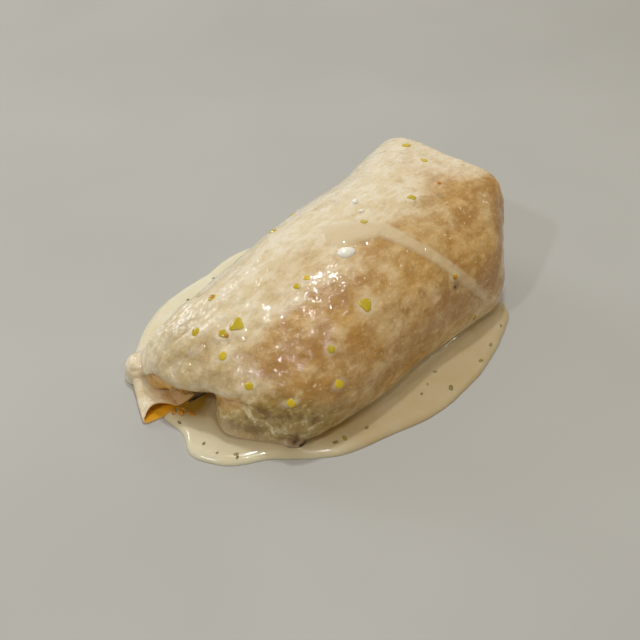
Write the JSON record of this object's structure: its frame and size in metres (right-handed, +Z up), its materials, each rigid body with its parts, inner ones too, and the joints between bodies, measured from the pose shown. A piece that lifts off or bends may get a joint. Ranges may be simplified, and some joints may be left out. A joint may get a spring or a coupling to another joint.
{
  "type": "burrito",
  "caption": "Large rolled flour-tortilla burrito lying in pools of cream sauce, one end tucked in and the other left with an open fold and a flat flap.",
  "frame": {"origin": "under the middle of the whole, on the surface it lies on", "axes": "+X along the roll towards its tucked end, +Y towards the back of the roll, +Z up"},
  "size_m": [0.1728, 0.1346, 0.0537],
  "materials": {
    "tortilla": "wet glazed",
    "sauce": "glossy",
    "pepper": "glossy"
  },
  "bodies": {
    "root": {"tortilla": "tortilla", "sauce_pool_front": "sauce", "sauce_pool_back": "sauce"}
  },
  "joints": []
}
